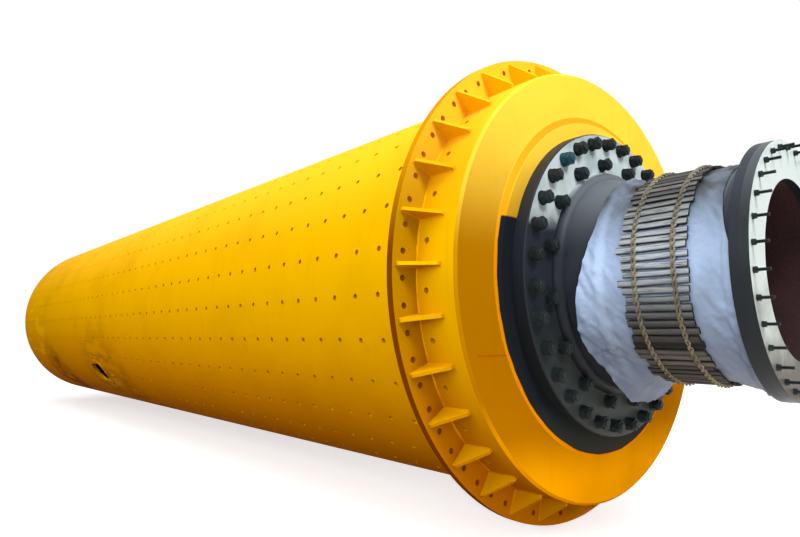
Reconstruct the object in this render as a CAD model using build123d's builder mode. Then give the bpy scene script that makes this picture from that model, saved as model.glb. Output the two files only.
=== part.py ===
"""Rotating drum of a grinding mill with hollow trunnions, gear flange and wrapped journals.

Frame: millimetres, origin at the centre of the near end ring's machined face, +X along the
drum axis from the far end towards that face, +Z up.
"""

import math
import os

from build123d import *

os.makedirs("parts", exist_ok=True)

# Shell
shell_r = 1600.0
shell_wall = 32.0
shell_length = 12830.0
near_course_length = 3025.0
middle_course_length = 3250.0
fit_gap = 0.3
cut_overrun = 20.0

# Liner bolt holes, set out in lines along the shell
line_count = 32
line_start_deg = -4.16
hole_r = 20.0
drilled_line_count = 12

# Manhole, a rounded opening with a raised frame
manhole_from_joint = 1395.0
manhole_deg = -127.5
manhole_length = 500.0
manhole_width = 350.0
manhole_corner_r = 120.0
frame_border = 60.0
frame_plate = 14.0

# Gear flange, its edge standing out from the shell
flange_rise = 203.0
flange_plate = 50.0
flange_setback = 310.0
hole_ring_setback = 180.0
flange_hole_edge = 83.0
flange_holes_per_line = 2
flange_hole_r = 20.0

# Gussets between the gear flange and the near end of the shell
gusset_plate = 22.0
gusset_length = 210.0
gusset_tip_drop = 30.0
gusset_nose = 26.0
gusset_flat = 16.0

# Heads
head_plate = 70.0
head_dish = 10.0
head_chamfer = 18.0
pad_margin = 103.0
pad_slope = 53.0
pad_plate = 22.0

# Trunnions, their radii stepped from the shoulder beside the journal
shoulder_r = 712.0
shoulder_width = 60.0
journal_drop = 37.0
journal_length = 700.0
journal_fillet = 30.0
journal_wall = 99.0
collar_width = 80.0
neck_rise = 48.0
neck_fillet = 60.0
mouth_rise = 8.0
mouth_depth = 100.0
spigot_wall = 75.0
spigot_length = 60.0
bolt_flange_width = 317.0
bolt_flange_plate = 95.0
bolt_flange_chamfer = 8.0
end_flange_rise = 73.0
end_flange_plate = 50.0
trunnion_length = 1120.0

# End rings and liner tubes
end_ring_plate = 50.0
liner_wall = 26.0
liner_length = 1180.0
stud_count = 32
stud_edge = 45.0
stud_d = 20.0
stud_length = 85.0

# Journal wrapping
cloth = 12.0
cloth_start = 150.0
cloth_end = 170.0
lath_count = 86
lath_width = 43.0
lath_thickness = 14.0
lath_length = 403.0
lath_offset = 347.0
rope_d = 22.0
rope_sides = 6
rope_inset_share = 0.2

# Places along the axis, from the machined face of the near end ring
seat_x = -end_ring_plate
near_pad_x = seat_x - trunnion_length - bolt_flange_plate
near_head_x = near_pad_x - pad_plate - head_dish
near_shell_x = near_head_x - head_plate
far_shell_x = near_shell_x - shell_length
mid_x = (near_shell_x + far_shell_x) / 2
line_pitch_deg = 360 / line_count
flange_x = near_shell_x - flange_setback
gusset_x = flange_x + flange_plate + gusset_length

# Radii
flange_r = shell_r + flange_rise
journal_r = shoulder_r - journal_drop
bore_r = journal_r - journal_wall
liner_bore_r = bore_r - liner_wall
neck_r = shoulder_r + neck_rise
mouth_r = shoulder_r + mouth_rise
head_bore_r = mouth_r + spigot_wall
bolt_flange_r = head_bore_r + bolt_flange_width
pad_r = bolt_flange_r + pad_margin
pad_foot_r = pad_r + pad_slope
end_flange_r = shoulder_r + end_flange_rise


def save(part, name):
    """Label a finished piece and write its file."""
    part.label = name
    export_step(part, f"parts/{name}.step")


def far(part):
    """The same piece at the far end, seen in a mirror across the middle of the drum."""
    return mirror(part, about=Plane.YZ.offset(mid_x))


def axis_plane(x):
    """A plane square to the drum axis, its local x along world +Y and its normal along +X."""
    return Plane(origin=(x, 0, 0), x_dir=(0, 1, 0), z_dir=(1, 0, 0))


# Angles are counted from +Z towards +Y, so a place at `deg` lies at 90 - deg in such a plane.
def in_plane_deg(deg):
    return 90 - deg


def radial(deg):
    """The direction square to the drum axis at an angle counted from +Z towards +Y."""
    return Vector(0, math.sin(math.radians(deg)), math.cos(math.radians(deg)))


# Shell courses, joined midway between rings of liner bolt holes, the near one with its ring of
# holes between the gussets, and one with the manhole
hole_x = near_shell_x - hole_ring_setback
first_joint_x = near_shell_x - near_course_length
second_joint_x = first_joint_x - middle_course_length
third_joint_x = second_joint_x - middle_course_length
manhole_x = third_joint_x + manhole_from_joint
manhole_plane = Plane(origin=(manhole_x, 0, 0), x_dir=(1, 0, 0), z_dir=radial(manhole_deg))
manhole_start = shell_r - shell_wall - manhole_width / 2
manhole_depth = shell_wall + manhole_width
edges = [near_shell_x, first_joint_x, second_joint_x, third_joint_x, far_shell_x]
for course, course_x in enumerate(edges[1:]):
    with BuildPart() as shell:
        with BuildSketch(axis_plane(course_x)):
            Circle(shell_r)
            Circle(shell_r - shell_wall, mode=Mode.SUBTRACT)
        extrude(amount=edges[course] - course_x)
        if course == 0:
            for line in range(drilled_line_count):
                outward = radial(line_start_deg + line * line_pitch_deg)
                start = shell_r - shell_wall - cut_overrun
                with BuildSketch(Plane(origin=(hole_x, 0, 0), x_dir=(1, 0, 0), z_dir=outward).offset(start)):
                    Circle(hole_r)
            extrude(amount=shell_wall + 2 * cut_overrun, mode=Mode.SUBTRACT)
        if course_x < manhole_x < edges[course]:
            with BuildSketch(manhole_plane.offset(manhole_start)):
                RectangleRounded(manhole_length, manhole_width, manhole_corner_r)
            extrude(amount=manhole_depth, mode=Mode.SUBTRACT)
    save(shell.part, f"shell_course_{course + 1}")

# Frame round the manhole, bent to the shell
with BuildPart() as manhole_frame:
    with BuildSketch(axis_plane(manhole_x - manhole_length / 2 - frame_border)):
        Circle(shell_r + fit_gap + frame_plate)
        Circle(shell_r + fit_gap, mode=Mode.SUBTRACT)
    extrude(amount=manhole_length + 2 * frame_border)
    with BuildSketch(manhole_plane.offset(manhole_start)):
        RectangleRounded(
            manhole_length + 2 * frame_border,
            manhole_width + 2 * frame_border,
            manhole_corner_r + frame_border,
        )
        RectangleRounded(manhole_length, manhole_width, manhole_corner_r, mode=Mode.SUBTRACT)
    extrude(amount=manhole_depth, mode=Mode.INTERSECT)
save(manhole_frame.part, "manhole_frame")


# Gear flange, a drilled ring round the shell whose back is the gear's seat
flange_hole_count = line_count * flange_holes_per_line
hole_pitch_deg = 360 / flange_hole_count
first_hole_deg = in_plane_deg(line_start_deg + hole_pitch_deg / 2)
with BuildPart() as gear_flange:
    with BuildSketch(axis_plane(flange_x)):
        Circle(flange_r)
        Circle(shell_r + fit_gap, mode=Mode.SUBTRACT)
        with PolarLocations(flange_r - flange_hole_edge, flange_hole_count, start_angle=first_hole_deg):
            Circle(flange_hole_r, mode=Mode.SUBTRACT)
    extrude(amount=flange_plate)
save(gear_flange.part, "gear_flange")

# Gussets, tapered plates between the gear flange and the shell, one midway between the hole lines
gusset_start_deg = line_start_deg + line_pitch_deg / 2
foot_r = shell_r + fit_gap
nose_r = foot_r + gusset_nose
tip_r = flange_r - gusset_tip_drop
with BuildPart() as gusset:
    with BuildSketch(Plane.XZ.offset(-gusset_plate / 2)):
        with BuildLine():
            Polyline(
                (flange_x + flange_plate, foot_r),
                (gusset_x, foot_r),
                (gusset_x, nose_r),
                (flange_x + flange_plate + gusset_flat, tip_r),
                (flange_x + flange_plate, tip_r),
                close=True,
            )
        make_face()
    extrude(amount=gusset_plate)
with BuildPart() as gussets:
    for line in range(line_count):
        add(gusset.part.rotate(Axis.X, -(gusset_start_deg + line * line_pitch_deg)))
save(gussets.part, "gear_flange_gussets")


# Heads, dished plates with a raised machined pad round the bore
with BuildPart() as head:
    with BuildSketch(Plane.XZ):
        with BuildLine():
            Polyline(
                (near_shell_x, head_bore_r + fit_gap),
                (near_pad_x, head_bore_r + fit_gap),
                (near_pad_x, pad_r),
                (near_pad_x - pad_plate, pad_foot_r),
                (near_head_x, shell_r - head_chamfer),
                (near_head_x - head_chamfer, shell_r),
                (near_shell_x, shell_r),
                close=True,
            )
        make_face()
    revolve(axis=Axis.X)
save(head.part, "head_near")
save(far(head.part), "head_far")

# Trunnions, castings with a bolting flange, a neck, a journal, a collar and an end flange
face_x = near_pad_x + bolt_flange_plate
collar_x = seat_x - end_flange_plate
journal_end_x = collar_x - collar_width
journal_start_x = journal_end_x - journal_length
shoulder_x = journal_start_x - shoulder_width
with BuildPart() as trunnion:
    with BuildSketch(Plane.XZ):
        with BuildLine():
            Polyline(
                (near_pad_x - spigot_length, mouth_r),
                (near_pad_x - spigot_length, head_bore_r),
                (near_pad_x, head_bore_r),
                (near_pad_x, bolt_flange_r),
                (face_x - bolt_flange_chamfer, bolt_flange_r),
                (face_x, bolt_flange_r - bolt_flange_chamfer),
                (face_x, neck_r + neck_fillet),
            )
            RadiusArc((face_x, neck_r + neck_fillet), (face_x + neck_fillet, neck_r), neck_fillet)
            Polyline(
                (face_x + neck_fillet, neck_r),
                (shoulder_x, shoulder_r),
                (journal_start_x - journal_fillet, shoulder_r),
                (journal_start_x, journal_r),
                (journal_end_x, journal_r),
                (journal_end_x + journal_fillet, shoulder_r),
                (collar_x, shoulder_r),
                (collar_x, end_flange_r),
                (seat_x, end_flange_r),
                (seat_x, bore_r),
                (near_pad_x - spigot_length + mouth_depth, bore_r),
                (near_pad_x - spigot_length, mouth_r),
            )
        make_face()
    revolve(axis=Axis.X)
save(trunnion.part, "trunnion_near")
save(far(trunnion.part), "trunnion_far")

# End rings, with the machined faces of the two ends
with BuildPart() as end_ring:
    with BuildSketch(axis_plane(seat_x)):
        Circle(end_flange_r)
        Circle(liner_bore_r, mode=Mode.SUBTRACT)
    extrude(amount=end_ring_plate)
save(end_ring.part, "end_ring_near")
save(far(end_ring.part), "end_ring_far")

# Studs standing out of the end rings
stud_start_deg = in_plane_deg(line_start_deg)
with BuildPart() as studs:
    with BuildSketch(axis_plane(seat_x + end_ring_plate)):
        with PolarLocations(end_flange_r - stud_edge, stud_count, start_angle=stud_start_deg):
            Circle(stud_d / 2)
    extrude(amount=stud_length)
save(studs.part, "end_studs_near")
save(far(studs.part), "end_studs_far")

# Liner tubes inside the trunnions, butted against the end rings
with BuildPart() as liner:
    with BuildSketch(axis_plane(seat_x - liner_length)):
        Circle(bore_r - fit_gap)
        Circle(liner_bore_r, mode=Mode.SUBTRACT)
    extrude(amount=liner_length)
save(liner.part, "liner_tube_near")
save(far(liner.part), "liner_tube_far")

# Cloth wrapped round the journals, as one soft sleeve
sleeve_start_x = face_x + cloth_start
sleeve_end_x = -cloth_end
neck_slope = (neck_r - shoulder_r) / (shoulder_x - face_x - neck_fillet)
sleeve_start_r = shoulder_r + (shoulder_x - sleeve_start_x) * neck_slope + fit_gap
with BuildPart() as sleeve:
    with BuildSketch(Plane.XZ):
        with BuildLine():
            Polyline(
                (sleeve_start_x, sleeve_start_r),
                (shoulder_x, shoulder_r + fit_gap),
                (journal_start_x - journal_fillet, shoulder_r + fit_gap),
                (journal_start_x, journal_r + fit_gap),
                (sleeve_end_x - journal_fillet, journal_r + fit_gap),
                (sleeve_end_x - journal_fillet, journal_r + fit_gap + cloth),
                (journal_start_x + cloth, journal_r + fit_gap + cloth),
                (journal_start_x - journal_fillet + cloth, shoulder_r + fit_gap + cloth),
                (shoulder_x, shoulder_r + fit_gap + cloth),
                (sleeve_start_x, sleeve_start_r + cloth),
                close=True,
            )
        make_face()
    revolve(axis=Axis.X)
save(sleeve.part, "journal_cloth_near")
save(far(sleeve.part), "journal_cloth_far")

# Laths laid side by side over the cloth
lath_x = -lath_offset - lath_length
with BuildPart() as lath:
    with BuildSketch(Plane.XY.offset(journal_r + 2 * fit_gap + cloth)):
        with Locations((lath_x + lath_length / 2, 0)):
            Rectangle(lath_length, lath_width)
    extrude(amount=lath_thickness)
with BuildPart() as laths:
    for step in range(lath_count):
        add(lath.part.rotate(Axis.X, step * 360 / lath_count))
save(laths.part, "journal_laths_near")
save(far(laths.part), "journal_laths_far")

# Ropes tied round the laths
rope_foot_r = math.hypot(journal_r + 2 * fit_gap + cloth + lath_thickness, lath_width / 2) + fit_gap
rope_middle_r = rope_foot_r + rope_d / 2 * math.cos(math.pi / rope_sides)
for letter, share in (("inner", rope_inset_share), ("outer", 1 - rope_inset_share)):
    with BuildPart() as rope:
        with BuildSketch(Plane.XZ):
            with Locations((lath_x + share * lath_length, rope_middle_r)):
                RegularPolygon(rope_d / 2, rope_sides)
        revolve(axis=Axis.X)
    save(rope.part, f"lashing_rope_{letter}_near")
    save(far(rope.part), f"lashing_rope_{letter}_far")
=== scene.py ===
"""Dressed model of a grinding mill's rotating drum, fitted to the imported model.

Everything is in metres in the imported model's frame. The origin is at the centre of the near end
ring's machined face, +X runs along the drum axis out of that face and +Z is up. Angles round the
drum are counted in degrees from +Z towards +Y.
"""

import logging
import math
import random
from contextlib import contextmanager
from dataclasses import dataclass
from enum import Enum
from typing import Callable, Iterable, Iterator, Sequence

import bmesh
import bpy
from bpy.types import Material, Node, NodeSocket, NodeTree
from bpy.types import Object as Piece
from mathutils import Matrix, Vector, noise


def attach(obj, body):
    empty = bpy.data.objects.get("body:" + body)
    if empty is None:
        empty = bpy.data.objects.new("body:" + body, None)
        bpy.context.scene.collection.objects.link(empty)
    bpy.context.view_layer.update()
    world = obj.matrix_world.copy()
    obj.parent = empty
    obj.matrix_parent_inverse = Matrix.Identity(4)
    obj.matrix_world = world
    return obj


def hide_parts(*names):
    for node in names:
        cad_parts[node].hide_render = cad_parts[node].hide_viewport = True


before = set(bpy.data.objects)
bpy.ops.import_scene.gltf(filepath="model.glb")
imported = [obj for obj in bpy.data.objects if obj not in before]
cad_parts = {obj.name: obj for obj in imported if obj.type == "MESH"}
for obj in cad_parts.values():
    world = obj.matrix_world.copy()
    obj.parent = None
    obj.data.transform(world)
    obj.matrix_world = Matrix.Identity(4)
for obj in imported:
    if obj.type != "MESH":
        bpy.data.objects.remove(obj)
log = logging.getLogger("mill_drum")


class Pick(Enum):
    """What a selection in edit mode is made of."""

    FACES = "FACE"
    EDGES = "EDGE"
    CORNERS = "VERT"


class End(Enum):
    """The two ends of the drum."""

    NEAR = "near"
    FAR = "far"


@dataclass(frozen=True)
class DrumSizes:
    """Sizes that several sub-assemblies share, in metres and degrees."""

    shell_r: float = 1.6
    wall: float = 0.032
    lines: int = 32
    first_line: float = -4.16
    near_edge_x: float = -1.367
    far_edge_x: float = -14.197
    mid_x: float = -7.782
    flange_near_x: float = -1.627
    flange_far_x: float = -1.677
    trunnion_face_x: float = -1.17
    journal_r: float = 0.7
    lath_count: int = 86
    lowest_z: float = -1.803

    @property
    def pitch(self) -> float:
        """The angle between two hole lines, in degrees."""
        return 360 / self.lines

    @property
    def arc(self) -> float:
        """The distance between two hole lines round the shell."""
        return math.radians(self.pitch) * self.shell_r


DRUM = DrumSizes()


# Modelling bench


def deselect() -> None:
    """Go back to object mode and leave nothing selected."""
    if bpy.context.object is not None and bpy.context.object.mode != "OBJECT":
        bpy.ops.object.mode_set(mode="OBJECT")
    for piece in list(bpy.context.selected_objects):
        piece.select_set(False)


def work_on(piece: Piece) -> None:
    """Make one piece the only selected and active one.

    Args:
        piece: the piece to work on.
    """
    deselect()
    piece.select_set(True)
    bpy.context.view_layer.objects.active = piece


@contextmanager
def picked(piece: Piece, choose: Callable[[object], bool], kind: Pick) -> Iterator[None]:
    """Edit a piece with only the chosen parts selected, and leave edit mode afterwards.

    Args:
        piece: the piece to edit.
        choose: says of a face, edge or corner whether it is selected.
        kind: what the selection is made of.

    Yields:
        Nothing, while the selection holds.
    """
    work_on(piece)
    bpy.ops.object.mode_set(mode="EDIT")
    bpy.ops.mesh.select_mode(type=kind.value)
    bpy.ops.mesh.select_all(action="DESELECT")
    mesh = bmesh.from_edit_mesh(piece.data)
    parts = {Pick.FACES: mesh.faces, Pick.EDGES: mesh.edges, Pick.CORNERS: mesh.verts}[kind]
    for part in parts:
        if choose(part):
            part.select_set(True)
    mesh.select_flush_mode()
    bmesh.update_edit_mesh(piece.data)
    yield
    deselect()


def edge_middle(edge: bmesh.types.BMEdge) -> Vector:
    """The point halfway along an edge."""
    return (edge.verts[0].co + edge.verts[1].co) / 2


def edge_span(edge: bmesh.types.BMEdge) -> Vector:
    """The way from one end of an edge to the other."""
    return edge.verts[1].co - edge.verts[0].co


def add(shape: str, **settings: object) -> Piece:
    """Add a primitive shape with its place, turn and scale in its mesh.

    Args:
        shape: Blender's name for the shape.
        settings: the shape's own settings.

    Returns:
        The piece.
    """
    deselect()
    getattr(bpy.ops.mesh, f"primitive_{shape}_add")(**settings)
    piece = bpy.context.object
    work_on(piece)
    bpy.ops.object.transform_apply(location=True, rotation=True, scale=True)
    return piece


def shift(piece: Piece, place: Vector | Sequence[float]) -> None:
    """Move a piece's mesh.

    Args:
        piece: the piece.
        place: how far it goes along each axis.
    """
    piece.data.transform(Matrix.Translation(place))


def modify(piece: Piece, kind: str, **settings: object) -> None:
    """Give a piece a modifier and apply it.

    Args:
        piece: the piece.
        kind: Blender's name for the modifier.
        settings: the modifier's own properties.
    """
    work_on(piece)
    modifier = piece.modifiers.new(kind.title(), kind)
    for name, value in settings.items():
        setattr(modifier, name, value)
    bpy.ops.object.modifier_apply(modifier=modifier.name)


def repeat(piece: Piece, count: int, step: tuple[float, float, float]) -> None:
    """Repeat a piece in a straight row.

    Args:
        piece: the piece.
        count: how many there are in the row.
        step: the way from one to the next.
    """
    offsets = {"use_relative_offset": False, "use_constant_offset": True, "constant_offset_displace": step}
    modify(piece, "ARRAY", count=count, **offsets)


def copy_of(piece: Piece, name: str, place: Matrix | None = None) -> Piece:
    """Copy a piece with a mesh of its own.

    Args:
        piece: the piece to copy.
        name: the copy's name.
        place: where the copy's mesh goes, or None to leave it.

    Returns:
        The copy.
    """
    made = piece.copy()
    made.data = piece.data.copy()
    made.name = made.data.name = name
    bpy.context.scene.collection.objects.link(made)
    if place is not None:
        made.data.transform(place)
    return made


def join(pieces: Sequence[Piece], name: str) -> Piece:
    """Join pieces into one.

    Args:
        pieces: the pieces, of which the first takes the others.
        name: the joined piece's name.

    Returns:
        The joined piece.
    """
    work_on(pieces[0])
    for piece in pieces:
        piece.select_set(True)
    bpy.ops.object.join()
    pieces[0].name = pieces[0].data.name = name
    return pieces[0]


def turn(degrees: float) -> Matrix:
    """A turn about the drum axis that takes +Z to the given angle."""
    return Matrix.Rotation(-math.radians(degrees), 4, "X")


def outward(degrees: float) -> Vector:
    """The direction square to the drum axis at the given angle."""
    return Vector((0, math.sin(math.radians(degrees)), math.cos(math.radians(degrees))))


def on_drum(x: float, degrees: float, radius: float) -> Vector:
    """The point at a place along the axis, an angle and a radius."""
    return Vector((x, 0, 0)) + outward(degrees) * radius


def ring_of(piece: Piece, angles: Sequence[float], name: str) -> Piece:
    """Copy a piece round the drum axis and join the copies.

    Args:
        piece: the piece, modelled at angle 0, which is used up.
        angles: the copies' angles in degrees.
        name: the ring's name.

    Returns:
        The ring.
    """
    copies = [copy_of(piece, f"{name}_{number}", turn(angle)) for number, angle in enumerate(angles)]
    bpy.data.objects.remove(piece)
    return join(copies, name)


def mirrored(piece: Piece, name: str) -> Piece:
    """Mirror a copy of a near end piece to the far end.

    Args:
        piece: the piece at the near end.
        name: the copy's name.

    Returns:
        The copy, its faces pointing outwards.
    """
    mirror = Matrix.Translation((2 * DRUM.mid_x, 0, 0)) @ Matrix.Scale(-1, 4, (1, 0, 0))
    made = copy_of(piece, name, mirror)
    made.data.flip_normals()
    return made


def make_at(end: End, name: str, make: Callable[[str], Piece]) -> Piece:
    """Make a piece at one end of the drum.

    Args:
        end: the end.
        name: the piece's name.
        make: makes the piece at the near end under a given name.

    Returns:
        The piece.
    """
    if end is End.NEAR:
        return make(name)
    twin = make("twin")
    made = mirrored(twin, name)
    bpy.data.objects.remove(twin)
    return made


def is_inside_out(face: bpy.types.MeshPolygon) -> bool:
    """Whether a face round the drum axis looks towards it."""
    return face.normal.dot(Vector((0, face.center.y, face.center.z))) < 0


def face_outwards(sheet: Piece) -> None:
    """Turn an open sheet's faces away from the drum axis.

    Args:
        sheet: the sheet.
    """
    with picked(sheet, lambda face: True, Pick.FACES):
        bpy.ops.mesh.normals_make_consistent(inside=False)
    if is_inside_out(sheet.data.polygons[0]):
        sheet.data.flip_normals()


def shade(piece: Piece, degrees: float) -> None:
    """Shade a piece smooth but for the edges sharper than an angle.

    Args:
        piece: the piece.
        degrees: the angle.
    """
    work_on(piece)
    bpy.ops.object.shade_smooth_by_angle(angle=math.radians(degrees))


def install(piece: Piece, materials: Sequence[Material], stands_for: Sequence[str] = ()) -> None:
    """Dress a finished piece and let it ride on the drum.

    Args:
        piece: the piece.
        materials: its materials, in the order of its slots.
        stands_for: the CAD nodes that it replaces.
    """
    piece.data.materials.clear()
    for material in materials:
        piece.data.materials.append(material)
    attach(piece, "root")
    if stands_for:
        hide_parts(*stands_for)
    log.info("%s: %d faces", piece.name, len(piece.data.polygons))


# Finishes


def colour(value: str) -> tuple[float, float, float, float]:
    """Turn an sRGB hex value into a linear colour.

    Args:
        value: the colour as #RRGGBB.

    Returns:
        Red, green, blue and alpha.
    """
    parts = [int(value[place : place + 2], 16) / 255 for place in (1, 3, 5)]
    linear = [part / 12.92 if part <= 0.04045 else ((part + 0.055) / 1.055) ** 2.4 for part in parts]
    return (*linear, 1.0)


def put(tree: NodeTree, kind: str, inputs: dict | None = None, **settings: object) -> Node:
    """Add one node with its settings and links.

    Args:
        tree: the tree that takes the node.
        kind: Blender's type name for the node, after "ShaderNode".
        inputs: what each input gets, by its name or number: a value, a hex colour, a socket to
            link, or a node whose first output in use is linked.
        settings: the node's own properties.

    Returns:
        The node.
    """
    node = tree.nodes.new("ShaderNode" + kind)
    for name, value in settings.items():
        setattr(node, name, value)
    for socket, value in (inputs or {}).items():
        if isinstance(value, Node):
            value = next(output for output in value.outputs if output.enabled)
        if isinstance(value, NodeSocket):
            tree.links.new(value, node.inputs[socket])
        else:
            node.inputs[socket].default_value = colour(value) if isinstance(value, str) else value
    return node


def layered(tree: NodeTree, base: Node | str, *coats: tuple) -> Node | str:
    """Lay coats over a colour, each as far as all of its own shares hold.

    Args:
        tree: the material's tree.
        base: the colour underneath.
        coats: each coat's colour and then its shares, from the lowest coat.

    Returns:
        The colour on top.
    """
    for tone, share, *others in coats:
        for other in others:
            share = put(tree, "Math", {0: share, 1: other}, operation="MULTIPLY")
        base = put(tree, "Mix", {0: share, 6: base, 7: tone}, data_type="RGBA")
    return base


def end_on(tree: NodeTree, coords: Node) -> Node:
    """How squarely a surface looks along the drum axis, from 0 to 1.

    Args:
        tree: the material's tree.
        coords: the texture coordinates.

    Returns:
        The share.
    """
    facing = put(tree, "SeparateXYZ", {0: coords.outputs["Normal"]})
    return put(tree, "Math", {0: facing.outputs["X"]}, operation="ABSOLUTE")


def off_axis(tree: NodeTree, place: Node, operation: str = "LENGTH") -> Node:
    """The way from the drum axis to the surface.

    Args:
        tree: the material's tree.
        place: the object coordinates, separated.
        operation: LENGTH for the radius or NORMALIZE for the direction.

    Returns:
        The radius or direction.
    """
    flat = put(tree, "CombineXYZ", {1: place.outputs["Y"], 2: place.outputs["Z"]})
    return put(tree, "VectorMath", {0: flat}, operation=operation)


def painted_light_by_height(
    tree: NodeTree,
    coords: Node,
    radius: float,
    tones: Sequence[str],
    stops: Sequence[float] = (-0.95, 0.05, 0.95),
) -> Node:
    """Paint light and shade onto a round piece by how high it stands and how far its surface looks up or
    down.

    Args:
        tree: the material's tree.
        coords: the texture coordinates.
        radius: the piece's radius.
        tones: the lit and shaded colours from below to the top.
        stops: where each of them is reached, from -1 at the lowest to 1 at the highest.

    Returns:
        The colour.
    """
    place = put(tree, "SeparateXYZ", {0: coords.outputs["Object"]})
    facing = put(tree, "SeparateXYZ", {0: coords.outputs["Normal"]})
    height = put(tree, "Math", {0: place.outputs["Z"], 1: 0.5 / radius}, operation="MULTIPLY")
    lean = put(tree, "Math", {0: facing.outputs["Z"], 1: 0.5}, operation="MULTIPLY")
    share = put(tree, "Math", {0: height, 1: lean}, operation="ADD")
    rises = [
        put(tree, "MapRange", {0: share, 1: low, 2: high}, interpolation_type="SMOOTHSTEP")
        for low, high in zip(stops, stops[1:])
    ]
    return layered(tree, tones[0], *zip(tones[1:], rises))


class Finish:
    """What every finish shares: a name, a gloss and one shader that takes its own look."""

    name: str
    roughness: float
    specular: float

    def material(self) -> Material:
        """Build the material.

        Returns:
            The material.
        """
        material = bpy.data.materials.new(self.name)
        material.use_nodes = True
        tree = material.node_tree
        tree.nodes.clear()
        gloss = {"Roughness": self.roughness, "Specular IOR Level": self.specular}
        look = self.look(tree, put(tree, "TexCoord"))
        put(tree, "OutputMaterial", {0: put(tree, "BsdfPrincipled", gloss | look)})
        return material

    def look(self, tree: NodeTree, coords: Node) -> dict:
        """Draw the finish's colour and relief.

        Args:
            tree: the material's tree.
            coords: the texture coordinates.

        Returns:
            What the shader's other inputs get.
        """
        raise NotImplementedError


class Part(Enum):
    """The yellow pieces whose paint has marks of its own."""

    SHELL = "shell"
    HEAD = "head"
    FLANGE = "flange"


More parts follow.
